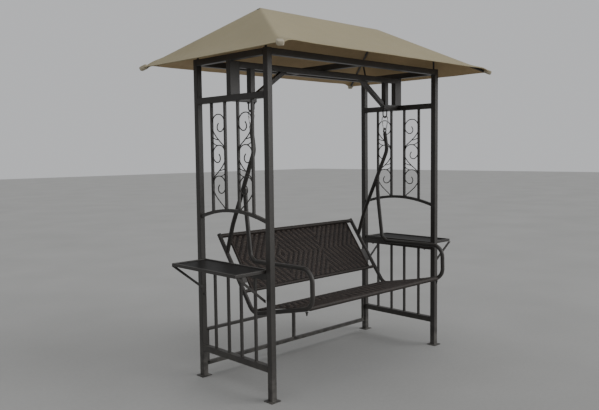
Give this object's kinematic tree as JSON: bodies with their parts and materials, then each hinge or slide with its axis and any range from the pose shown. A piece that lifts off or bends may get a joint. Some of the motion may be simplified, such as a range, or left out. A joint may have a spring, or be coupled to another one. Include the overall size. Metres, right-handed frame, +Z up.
{
  "type": "canopy swing bench",
  "caption": "Garden swing bench: a reclined woven seat with tube arms hangs from two links in a square-tube stand with scrollwork sides, side trays and a hipped cloth canopy.",
  "frame": {"origin": "on the floor, at the middle of the stand and of the overall box", "axes": "+X along the seat to the sitter's left, +Y to the back, +Z up"},
  "size_m": [2.112, 1.336, 2.346],
  "materials": {
    "painted_frame": "satin powder coat, dark bronze",
    "canopy_cloth": "woven polyester, sand",
    "chrome_link": "polished",
    "resin_reed": "flat woven resin strands, dark brown",
    "tray_sheet": "gloss powder coat",
    "dark_bolt": "blackened steel"
  },
  "bodies": {
    "stand": {"brace_left": "painted_frame", "brace_right": "painted_frame", "canopy": "canopy_cloth", "cross_beam": "painted_frame", "foot_plate_front_left": "painted_frame", "foot_plate_front_right": "painted_frame", "foot_plate_rear_left": "painted_frame", "foot_plate_rear_right": "painted_frame", "hanger_beam_left": "painted_frame", "hanger_beam_right": "painted_frame", "hip_rafter_front_left": "painted_frame", "hip_rafter_front_right": "painted_frame", "hip_rafter_rear_left": "painted_frame", "hip_rafter_rear_right": "painted_frame", "inner_upright_left": "painted_frame", "inner_upright_right": "painted_frame", "middle_beam": "painted_frame", "outer_upright_left": "painted_frame", "outer_upright_right": "painted_frame", "post_front_left": "painted_frame", "post_front_right": "painted_frame", "post_rear_left": "painted_frame", "post_rear_right": "painted_frame", "rear_stretcher": "painted_frame", "ridge_pole": "painted_frame", "side_panel_lower_left": "painted_frame", "side_panel_lower_right": "painted_frame", "side_panel_upper_left": "painted_frame", "side_panel_upper_right": "painted_frame", "top_beam_front": "painted_frame", "top_beam_left": "painted_frame", "top_beam_rear": "painted_frame", "top_beam_right": "painted_frame", "tray_frame_left": "painted_frame", "tray_frame_right": "painted_frame", "tray_sheet_left": "tray_sheet", "tray_sheet_right": "tray_sheet", "tray_strut_front_left": "painted_frame", "tray_strut_front_right": "painted_frame", "tray_strut_rear_left": "painted_frame", "tray_strut_rear_right": "painted_frame", "u_bolt_left": "dark_bolt", "u_bolt_right": "dark_bolt"},
    "left_link": {"hanging_link_left": "chrome_link"},
    "right_link": {"hanging_link_right": "chrome_link"},
    "seat": {"arm_rest_left": "painted_frame", "arm_rest_right": "painted_frame", "back_frame": "painted_frame", "back_weave": "resin_reed", "corner_bolt_left": "dark_bolt", "corner_bolt_right": "dark_bolt", "hanger_arm_left": "painted_frame", "hanger_arm_right": "painted_frame", "seat_frame": "painted_frame", "seat_weave": "resin_reed", "side_tube_left": "painted_frame", "side_tube_right": "painted_frame"}
  },
  "joints": [
    {"name": "left_link_swing", "type": "hinge", "parent": "stand", "child": "left_link", "pos_m": [-0.654, 0, 1.7045], "axis": [1, 0, 0], "range_deg": [-25, 25]},
    {"name": "right_link_swing", "type": "hinge", "parent": "stand", "child": "right_link", "pos_m": [0.654, 0, 1.7045], "axis": [1, 0, 0], "range_deg": [-25, 25]},
    {"name": "seat_swing", "type": "hinge", "parent": "left_link", "child": "seat", "pos_m": [-0.654, 0, 1.613], "axis": [1, 0, 0], "range_deg": [-10, 10]}
  ],
  "couplings": [
    {"joint": "right_link_swing", "follows": "left_link_swing", "ratio": 1}
  ]
}
